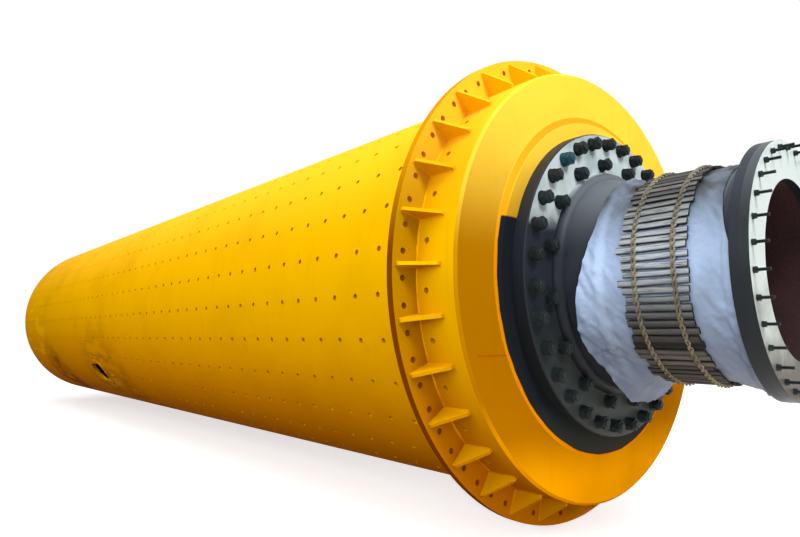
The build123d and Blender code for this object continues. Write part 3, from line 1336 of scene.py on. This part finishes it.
@dataclass
class EndStuds:
    """The studs of the two end rings, with their nuts and washers at the rim."""

    ring_r: float = 0.74
    count: int = 32
    stud: Fastening = Fastening(
        rod_r=0.01,
        standing=0.085,
        thread=0.005,
        flats=0.03,
        washer_r=0.018,
        washer_plate=0.003,
        nuts=((0.016, 0),),
        gap=0.0,
        rod_from=0.017,
        sides=10,
    )

    def build(self, finish: Material) -> None:
        """Model both ends' studs, which stand for the plain rods.

        Args:
            finish: the studs' material.
        """
        stud = self.stud.build("stud")
        shift(stud, (0, 0, self.ring_r))
        angles = [DRUM.first_line + step * 360 / self.count for step in range(self.count)]
        near = ring_of(stud, angles, "end_studs_near_threaded")
        install(near, (finish,), ("end_studs_near",))
        far = mirrored(near, "end_studs_far_threaded")
        install(far, (finish,), ("end_studs_far",))


@dataclass
class WeldBeads:
    """The welds of the gear flange and its gussets."""

    bead_r: float = 0.008
    fillet_r: float = 0.005
    gusset_half: float = 0.011
    gusset_foot_x: float = -1.417
    gusset_tip_r: float = 1.773

    def build(self, finish: Material) -> None:
        """Model the beads round the shell and along the gussets.

        Args:
            finish: the paint over the beads.
        """
        beads = [self._ring(x) for x in (DRUM.flange_near_x, DRUM.flange_far_x)]
        fillets = []
        for y in (-self.gusset_half, self.gusset_half):
            root = Vector((DRUM.flange_near_x, y, DRUM.shell_r))
            foot = Vector((self.gusset_foot_x, y, DRUM.shell_r))
            tip = Vector((DRUM.flange_near_x, y, self.gusset_tip_r))
            fillets += [self._run(root, foot), self._run(root, tip)]
        corner = join(fillets, "corner")
        angles = [DRUM.first_line + (step + 0.5) * DRUM.pitch for step in range(DRUM.lines)]
        welds = join([*beads, ring_of(corner, angles, "gusset_beads")], "weld_beads")
        shade(welds, 60)
        install(welds, (finish,))

    def _ring(self, x: float) -> Piece:
        """Model a rippled bead round the shell.

        Args:
            x: its place along the axis.

        Returns:
            The bead.
        """
        sizes = {"major_radius": DRUM.shell_r, "minor_radius": self.bead_r}
        sides = {"major_segments": 360, "minor_segments": 6}
        bead = add("torus", location=(x, 0, 0), rotation=(0, math.pi / 2, 0), **sizes, **sides)
        self._ripple(bead, self.bead_r)
        return bead

    def _run(self, start: Vector, end: Vector) -> Piece:
        """Model a straight rippled bead between two points.

        Args:
            start: one end.
            end: the other end.

        Returns:
            The bead.
        """
        way = end - start
        place = {"location": (start + end) / 2, "rotation": way.to_track_quat("Z", "Y").to_euler()}
        bead = add("cylinder", vertices=6, radius=self.fillet_r, depth=way.length, **place)
        with picked(bead, lambda edge: edge_span(edge).length > way.length / 2, Pick.EDGES):
            bpy.ops.mesh.subdivide(number_cuts=7)
        self._ripple(bead, self.fillet_r)
        return bead

    def _ripple(self, bead: Piece, radius: float) -> None:
        """Roughen a bead with the ripples of its weld pool.

        Args:
            bead: the bead.
            radius: the bead's radius.
        """
        for corner in bead.data.vertices:
            corner.co += corner.normal * noise.noise(corner.co * 60) * radius * 0.3


def smooth(low: float, high: float, value: float) -> float:
    """Rise softly from 0 to 1 between two values.

    Args:
        low: where the rise starts.
        high: where it ends.
        value: the place.

    Returns:
        The share of the rise.
    """
    share = min(1.0, max(0.0, (value - low) / (high - low)))
    return share * share * (3 - 2 * share)


@dataclass
class JournalCloth:
    """The sheeting wrapped round a journal under the laths, lapped at the back.

    Its left edge hangs loose from the neck, most of all underneath, and it is gathered in
    slanting folds on both sides of the laths.
    """

    start_deg: float = 60.0
    lap_deg: float = 14.0
    steps_round: int = 330
    steps_along: int = 58
    clear: float = 0.0015
    thick: float = 0.0025
    lap_rise: float = 0.004
    # The radius that the cloth's length is measured at.
    cut_r: float = 0.69
    lath_x: tuple[float, float] = (-0.750, -0.347)
    fold_lean: float = 0.5
    seeds: tuple[float, float] = (3.0, 11.0)
    # The casting's radius under the cloth, by the place along the axis.
    casting: tuple[tuple[float, float], ...] = (
        (-1.11, 0.760),
        (-0.94, 0.712),
        (-0.91, 0.712),
        (-0.88, 0.6753),
        (-0.18, 0.6753),
        (-0.15, 0.7123),
        (-0.10, 0.7123),
    )

    def build(self, finish: Material) -> None:
        """Model the cloth of both ends, which stands for the plain sleeves.

        Args:
            finish: the sheeting.
        """
        for end, seed in zip(End, self.seeds):
            name = f"journal_cloth_{end.value}"
            cloth = make_at(end, f"{name}_folded", lambda own_name: self._sheet(own_name, seed))
            install(cloth, (finish,), (name,))

    def _journal_r(self, x: float) -> float:
        """The casting's radius under the cloth.

        Args:
            x: the place along the axis.

        Returns:
            The radius.
        """
        for (x0, r0), (x1, r1) in zip(self.casting, self.casting[1:]):
            if x <= x1:
                return r0 + (r1 - r0) * max(0.0, (x - x0) / (x1 - x0))
        return self.casting[-1][1]

    def _edges(self, degrees: float, seed: float) -> tuple[float, float]:
        """The cloth's two edges at an angle.

        The left one hangs loose and lies further out below the middle than on top. The right one
        reaches the end flange below and bares the collar on top.

        Args:
            degrees: the angle round the drum.
            seed: the place in the noise.

        Returns:
            The edges' places along the axis.
        """
        low = -math.cos(math.radians(degrees))
        left_wave = 0.006 * noise.noise(Vector((degrees / 14, 2.0, 0)))
        right_wave = 0.006 * noise.noise(Vector((degrees / 10, 9.0, seed)))
        left = -0.935 - 0.125 * smooth(-0.6, 0.5, low) + 0.085 * smooth(0.55, 1.0, low) + left_wave
        return left, -0.2 + 0.087 * smooth(-0.7, 0.0, low) + right_wave

    def _sheet(self, name: str, seed: float) -> Piece:
        """Model one cloth.

        Args:
            name: its name.
            seed: the place in the noise that its folds are taken from.

        Returns:
            The cloth with its thickness.
        """
        cloth = add("grid", x_subdivisions=self.steps_along, y_subdivisions=self.steps_round, size=1)
        cloth.name = cloth.data.name = name
        span = 360 + self.lap_deg
        cut = []
        for corner in cloth.data.vertices:
            round_share = corner.co.y + 0.5
            degrees = self.start_deg - round_share * span
            left, right = self._edges(degrees, seed)
            x = left + (right - left) * (corner.co.x + 0.5)
            lap = self.lap_rise * round_share
            radius = self._journal_r(x) + self.clear + lap + self._rise(x, right, degrees, seed)
            cut.append((x, math.radians(round_share * span) * self.cut_r))
            corner.co = on_drum(x, degrees, radius)
        layer = cloth.data.uv_layers[0]
        layer.name = "cut"
        for loop in cloth.data.loops:
            layer.data[loop.index].uv = cut[loop.vertex_index]
        face_outwards(cloth)
        modify(cloth, "SOLIDIFY", thickness=self.thick, offset=1)
        shade(cloth, 80)
        return cloth

    def _rise(self, x: float, right: float, degrees: float, seed: float) -> float:
        """How far the cloth stands off the casting.

        Args:
            x: the place along the axis.
            right: the cloth's right edge at this angle.
            degrees: the angle round the drum.
            seed: the place in the noise.

        Returns:
            The rise in metres.
        """
        low = -math.cos(math.radians(degrees))
        loose = smooth(-0.5, 0.5, low)
        bottom = smooth(0.76, 1.0, low)
        # Two sets of slanting folds, slow and quick, and the crumples between them.
        down = -math.radians(degrees) * 0.72
        across = x - self.fold_lean * down
        along = down + self.fold_lean * x
        slow = 1 - min(1.0, abs(noise.noise(Vector((across * 9, along * 1.0, seed)))) * 5)
        quick = 1 - min(1.0, abs(noise.noise(Vector((across * 19, along * 3, seed + 5)))) * 4)
        crumple = 0.5 + 0.5 * noise.noise(Vector((x * 26, down * 26, seed + 9)))
        folds = 0.42 * slow**2 + 0.33 * quick**2 + 0.12 * crumple
        # The folds have little room under the laths and more towards the edges.
        lath_left, lath_right = self.lath_x
        room = 0.006
        if x < lath_left:
            room += (0.006 + 0.021 * loose) * min(1.0, (lath_left - x) / 0.1)
        elif x > lath_right:
            free = min(1.0, (x - lath_right) / 0.05) * max(0.0, min(1.0, (right + 0.01 - x) / 0.04))
            room += (0.008 + 0.010 * loose) * free
        hang = max(0.0, (lath_left - 0.02 - x) / 0.24)
        slack = 0.03 * bottom * smooth(lath_right, lath_right + 0.15, x)
        return room * folds + (0.008 + 0.012 * loose + 0.12 * bottom) * hang + slack


@dataclass
class Laths:
    """The rough boards laid side by side over the cloth, no two quite alike."""

    length: float = 0.403
    width: float = 0.044
    plate: float = 0.017
    edge: float = 0.005
    middle_x: float = -0.5485
    foot_r: float = 0.6878
    seeds: tuple[int, int] = (7, 8)

    def build(self, finish: Material) -> None:
        """Model both ends' laths, which stand for the plain ones.

        Args:
            finish: the wood.
        """
        for end, seed in zip(End, self.seeds):
            name = f"journal_laths_{end.value}"
            laths = make_at(end, f"{name}_rough", lambda own_name: self._bundle(own_name, seed))
            install(laths, (finish,), (name,))

    def _bundle(self, name: str, seed: int) -> Piece:
        """Model one end's laths.

        Args:
            name: the bundle's name.
            seed: the start of its random numbers.

        Returns:
            The bundle.
        """
        chance = random.Random(seed)
        pattern = self._lath()
        laths = []
        for number in range(DRUM.lath_count):
            lath = copy_of(pattern, f"{name}_{number}")
            self._roughen(lath, chance)
            lath.data.transform(turn(number * 360 / DRUM.lath_count + chance.uniform(-0.5, 0.5)))
            laths.append(lath)
        bpy.data.objects.remove(pattern)
        bundle = join(laths, name)
        shade(bundle, 30)
        return bundle

    def _lath(self) -> Piece:
        """Model one straight lath at angle 0 with broken edges.

        Returns:
            The lath.
        """
        size = (self.length, self.width, self.plate)
        lath = add("cube", size=1, scale=size, location=(self.middle_x, 0, self.foot_r + self.plate / 2))
        for operation, settings in (
            (bpy.ops.mesh.bevel, {"offset": self.edge, "segments": 2}),
            (bpy.ops.mesh.subdivide, {"number_cuts": 5}),
        ):
            with picked(lath, lambda edge: abs(edge_span(edge).x) > self.length / 2, Pick.EDGES):
                operation(**settings)
        return lath

    def _roughen(self, lath: Piece, chance: random.Random) -> None:
        """Make a lath's width, ends, line and colour its own.

        Args:
            lath: the lath.
            chance: the random numbers.
        """
        wide = chance.uniform(0.84, 1.08)
        thick = chance.uniform(0.75, 1.1)
        near_end = chance.uniform(-0.016, 0.006)
        far_end = chance.choice((chance.uniform(-0.012, 0.012), chance.uniform(-0.035, 0.015)))
        lean = chance.uniform(-0.007, 0.007)
        start = chance.uniform(0, 100)
        tone = chance.random() ** 1.5
        corners = lath.data.vertices
        across = [2 * corner.co.y / self.width for corner in corners]
        for name, own in (("across", across), ("tone", [tone] * len(corners))):
            lath.data.attributes.new(name, "FLOAT", "POINT").data.foreach_set("value", own)
        for corner in corners:
            share = (corner.co.x - self.middle_x) / self.length
            crook = 0.004 * noise.noise(Vector((corner.co.x * 6, start, 0)))
            lift = 0.0015 * (1 + noise.noise(Vector((corner.co.x * 9, start, 3))))
            corner.co.x += near_end if share > 0.45 else far_end if share < -0.45 else 0.0
            corner.co.y = corner.co.y * wide + crook + lean * share
            corner.co.z = self.foot_r + (corner.co.z - self.foot_r) * thick + lift


@dataclass
class StrawRopes:
    """The twisted ropes tied round the laths, two at each end."""

    places: tuple[tuple[str, float], ...] = (("inner", -0.6694), ("outer", -0.4276))
    seeds: tuple[float, float] = (4.0, 9.0)
    middle_r: float = 0.7085
    strands: int = 2
    strand_r: float = 0.0075
    sway: float = 0.0098
    # A strand comes round once in two laths, and its own radius goes in and out less than aside.
    steps_a_lath: int = 8
    depth: float = 0.005
    dip: float = 0.004

    def build(self, finish: Material) -> None:
        """Model the four ropes, which stand for the plain rings.

        Args:
            finish: the straw.
        """
        for which, x in self.places:
            for end, seed in zip(End, self.seeds):
                name = f"lashing_rope_{which}_{end.value}"
                rope = make_at(end, f"{name}_twisted", lambda own_name: self._rope(own_name, x, seed + x))
                install(rope, (finish,), (name,))

    def _rope(self, name: str, x: float, seed: float) -> Piece:
        """Model one rope.

        Args:
            name: its name.
            x: its place along the axis.
            seed: the place in the noise that its wander is taken from.

        Returns:
            The rope.
        """
        strands = []
        steps = DRUM.lath_count * self.steps_a_lath
        for strand in range(self.strands):
            curve = bpy.data.curves.new(f"{name}_{strand}", "CURVE")
            curve.dimensions = "3D"
            curve.bevel_depth = self.strand_r
            curve.bevel_resolution = 2
            curve.resolution_u = 1
            line = curve.splines.new("POLY")
            line.points.add(steps - 1)
            line.use_cyclic_u = True
            for step in range(steps):
                place = outward(360 * step / steps)
                twist = math.pi * (step / self.steps_a_lath + strand)
                wander = 0.007 * noise.noise(place * 3 + Vector((seed, 0, 0)))
                fray = 0.0022 * noise.noise(place * 55 + Vector((strand, seed, 0)))
                dip = self.dip * math.cos(2 * twist)
                radius = self.middle_r + dip + self.depth * math.cos(twist) + fray
                aside = x + wander + fray + self.sway * math.sin(twist)
                line.points[step].co = (*(Vector((aside, 0, 0)) + place * radius), 1)
            rope = bpy.data.objects.new(f"{name}_{strand}", curve)
            bpy.context.scene.collection.objects.link(rope)
            work_on(rope)
            bpy.ops.object.convert(target="MESH")
            strands.append(bpy.context.object)
        rope = join(strands, name)
        shade(rope, 70)
        return rope


@dataclass
class CastAndPlate:
    """The CAD nodes that are shown as they are."""

    def dress(self, finishes: Iterable[tuple[Material, Sequence[str]]]) -> None:
        """Give each shown CAD node its material.

        Args:
            finishes: each material with the names of the nodes that wear it.
        """
        for material, names in finishes:
            for name in names:
                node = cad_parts[name]
                node.data.materials.clear()
                node.data.materials.append(material)
                log.info("%s wears %s", name, material.name)


@dataclass(frozen=True)
class Lamp:
    """An area lamp: its place, the point it lights, its size, watts and colour."""

    name: str
    place: tuple[float, float, float]
    towards: tuple[float, float, float]
    size: tuple[float, float]
    power: float
    tint: str = "#FFFFFF"
    # Whether it shows in glossy surfaces.
    glossy: bool = True


@dataclass
class Studio:
    """A pale floor, soft lamps and the camera at the reference view."""

    camera_place: tuple[float, float, float] = (1.108, -4.142, -0.392)
    camera_way: tuple[float, float, float] = (-0.7465, 0.6560, 0.1114)
    lens: float = 27.0
    sensor: float = 36.0
    clip_end: float = 200.0
    floor_size: float = 120.0
    floor_drop: float = 0.002
    # The floor's linear colours: to the eye, with its own light, and for the light it throws back.
    floor_white: tuple[float, float, float, float] = (0.9, 0.9, 0.9, 1)
    floor_lift: float = 0.6
    floor_grey: tuple[float, float, float, float] = (0.2, 0.17, 0.13, 1)
    # The sky's strength below and above.
    sky: tuple[float, float] = (0.16, 0.7)
    lamps: tuple[Lamp, ...] = (
        Lamp("overhead_soft_lamp", (-6.0, -2.5, 9.0), (-6.5, 0.0, 0.0), (16.0, 8.0), 630),
        Lamp("side_soft_lamp", (-4.5, -11.0, 3.5), (-5.0, 0.0, 0.0), (10.0, 5.0), 560),
        Lamp("head_lamp", (3.6, -1.2, 4.4), (-1.3, 0.2, 1.2), (2.0, 2.0), 320),
        Lamp("front_lamp", (2.4, -7.5, 0.8), (-0.6, 0.0, -0.1), (3.0, 2.0), 180, "#DAE7FB"),
        Lamp("right_lamp", (0.5, 4.6, -0.3), (-1.3, 1.0, -0.4), (1.8, 1.8), 120, glossy=False),
        Lamp("low_lamp", (0.5, -0.8, -1.78), (-1.3, -0.2, -1.5), (1.2, 1.2), 34, "#FFE8C8", False),
    )

    def build(self) -> None:
        """Set up the camera, the floor, the lamps, the world and the view."""
        data = bpy.data.cameras.new("reference_camera")
        data.lens = self.lens
        data.sensor_width = self.sensor
        data.clip_end = self.clip_end
        bpy.context.scene.camera = self._hang("reference_camera", data, self.camera_place, self.camera_way)
        self._floor()
        for lamp in self.lamps:
            light = bpy.data.lights.new(lamp.name, "AREA")
            light.shape = "RECTANGLE"
            light.size, light.size_y = lamp.size
            light.energy = lamp.power
            light.color = colour(lamp.tint)[:3]
            way = Vector(lamp.towards) - Vector(lamp.place)
            self._hang(lamp.name, light, lamp.place, way).visible_glossy = lamp.glossy
        self._world()
        bpy.context.scene.view_settings.view_transform = "Standard"

    def _hang(self, name: str, data: bpy.types.ID, place: Sequence[float], way: Sequence[float]) -> Piece:
        """Put a camera or lamp in its place.

        Args:
            name: its name.
            data: the camera or light.
            place: where it is.
            way: the direction that it looks in.

        Returns:
            The camera or lamp.
        """
        made = bpy.data.objects.new(name, data)
        bpy.context.scene.collection.objects.link(made)
        made.location = place
        made.rotation_euler = Vector(way).to_track_quat("-Z", "Y").to_euler()
        return made

    def _seen(self, tree: NodeTree) -> Node:
        """Whether a ray is one that shows in the picture, and not one that only lights.

        Args:
            tree: the tree.

        Returns:
            The share.
        """
        path = put(tree, "LightPath")
        direct = {0: path.outputs["Is Camera Ray"], 1: path.outputs["Is Glossy Ray"]}
        seen = put(tree, "Math", direct, operation="MAXIMUM")
        return put(tree, "Math", {0: seen, 1: path.outputs["Is Transmission Ray"]}, operation="MAXIMUM")

    def _floor(self) -> None:
        """Add the floor, white to the eye and greyer for the light that it throws back."""
        floor = add("plane", size=self.floor_size, location=(-7, 0, DRUM.lowest_z - self.floor_drop))
        floor.name = "floor"
        material = bpy.data.materials.new("pale_floor")
        material.use_nodes = True
        tree = material.node_tree
        tree.nodes.clear()
        white, grey = (put(tree, "BsdfDiffuse", {0: tone}) for tone in (self.floor_white, self.floor_grey))
        lift = put(tree, "Emission", {0: (1, 1, 1, 1), 1: self.floor_lift})
        bright = put(tree, "AddShader", {0: white, 1: lift})
        put(tree, "OutputMaterial", {0: put(tree, "MixShader", {0: self._seen(tree), 1: grey, 2: bright})})
        floor.data.materials.append(material)

    def _world(self) -> None:
        """Light the scene from a sky that is white to the eye and brighter above than below."""
        world = bpy.data.worlds.new("studio_world")
        bpy.context.scene.world = world
        world.use_nodes = True
        tree = world.node_tree
        tree.nodes.clear()
        coords = put(tree, "TexCoord")
        place = put(tree, "SeparateXYZ", {0: coords.outputs["Generated"]})
        low, high = self.sky
        height = put(tree, "MapRange", {0: place.outputs["Z"], 1: -0.2, 2: 0.9, 3: low, 4: high})
        sky, white = (put(tree, "Background", {0: (1, 1, 1, 1), 1: strength}) for strength in (height, 1.0))
        put(tree, "OutputWorld", {0: put(tree, "MixShader", {0: self._seen(tree), 1: sky, 2: white})})


def main() -> None:
    """Build the drum's sub-assemblies in order, then the studio."""
    logging.basicConfig(level=logging.INFO, format="%(message)s")
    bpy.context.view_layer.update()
    deselect()
    enamel = YellowEnamel().material()
    head_paint = YellowEnamel("alkyd_enamel_head", Part.HEAD).material()
    # The flange's tones are painted shade below and in the middle, and painted light on top.
    flange_paint = YellowEnamel(
        "alkyd_enamel_flange",
        Part.FLANGE,
        ("#B87000", "#B48600", "#FFC42C"),
        (-0.9, 0.1, 0.8),
        DRUM.shell_r / 2,
    ).material()
    slate = SlatePaint().material()
    turned = TurnedSteel().material()
    black = SpeckledPaint("black_oxide_steel", "#111617", "#1B2527", 0.6, speck_mm=40.0).material()
    teal = SpeckledPaint("teal_nut_paint", "#0E3A44", "#1A4A52", 0.5, speck_mm=40.0).material()
    maroon = SpeckledPaint("red_oxide_primer", "#3C2325", "#24181A", 0.75).material()
    bare = SpeckledPaint("mill_scale_plate", "#3B332C", "#231D19", 0.7).material()
    sheeting = WovenSheeting().material()
    wood = WeatheredSoftwood().material()
    coarse = {"speck_mm": 9.0, "depth_mm": 2.5}
    straw = SpeckledPaint("rice_straw_rope", "#8B8573", "#4C4639", 0.85, **coarse).material()
    CastAndPlate().dress(
        (
            (enamel, ("manhole_frame", "gear_flange_gussets")),
            (flange_paint, ("gear_flange",)),
            (head_paint, ("head_near", "head_far")),
            (slate, ("trunnion_near", "trunnion_far")),
            (turned, ("end_ring_near", "end_ring_far")),
            (maroon, ("liner_tube_near", "liner_tube_far")),
        )
    )
    Shell().build(enamel, bare)
    WeldBeads().build(enamel)
    TrunnionBolts().build(black, teal)
    EndStuds().build(black)
    JournalCloth().build(sheeting)
    Laths().build(wood)
    StrawRopes().build(straw)
    Studio().build()
    deselect()


if __name__ == "__main__":
    main()
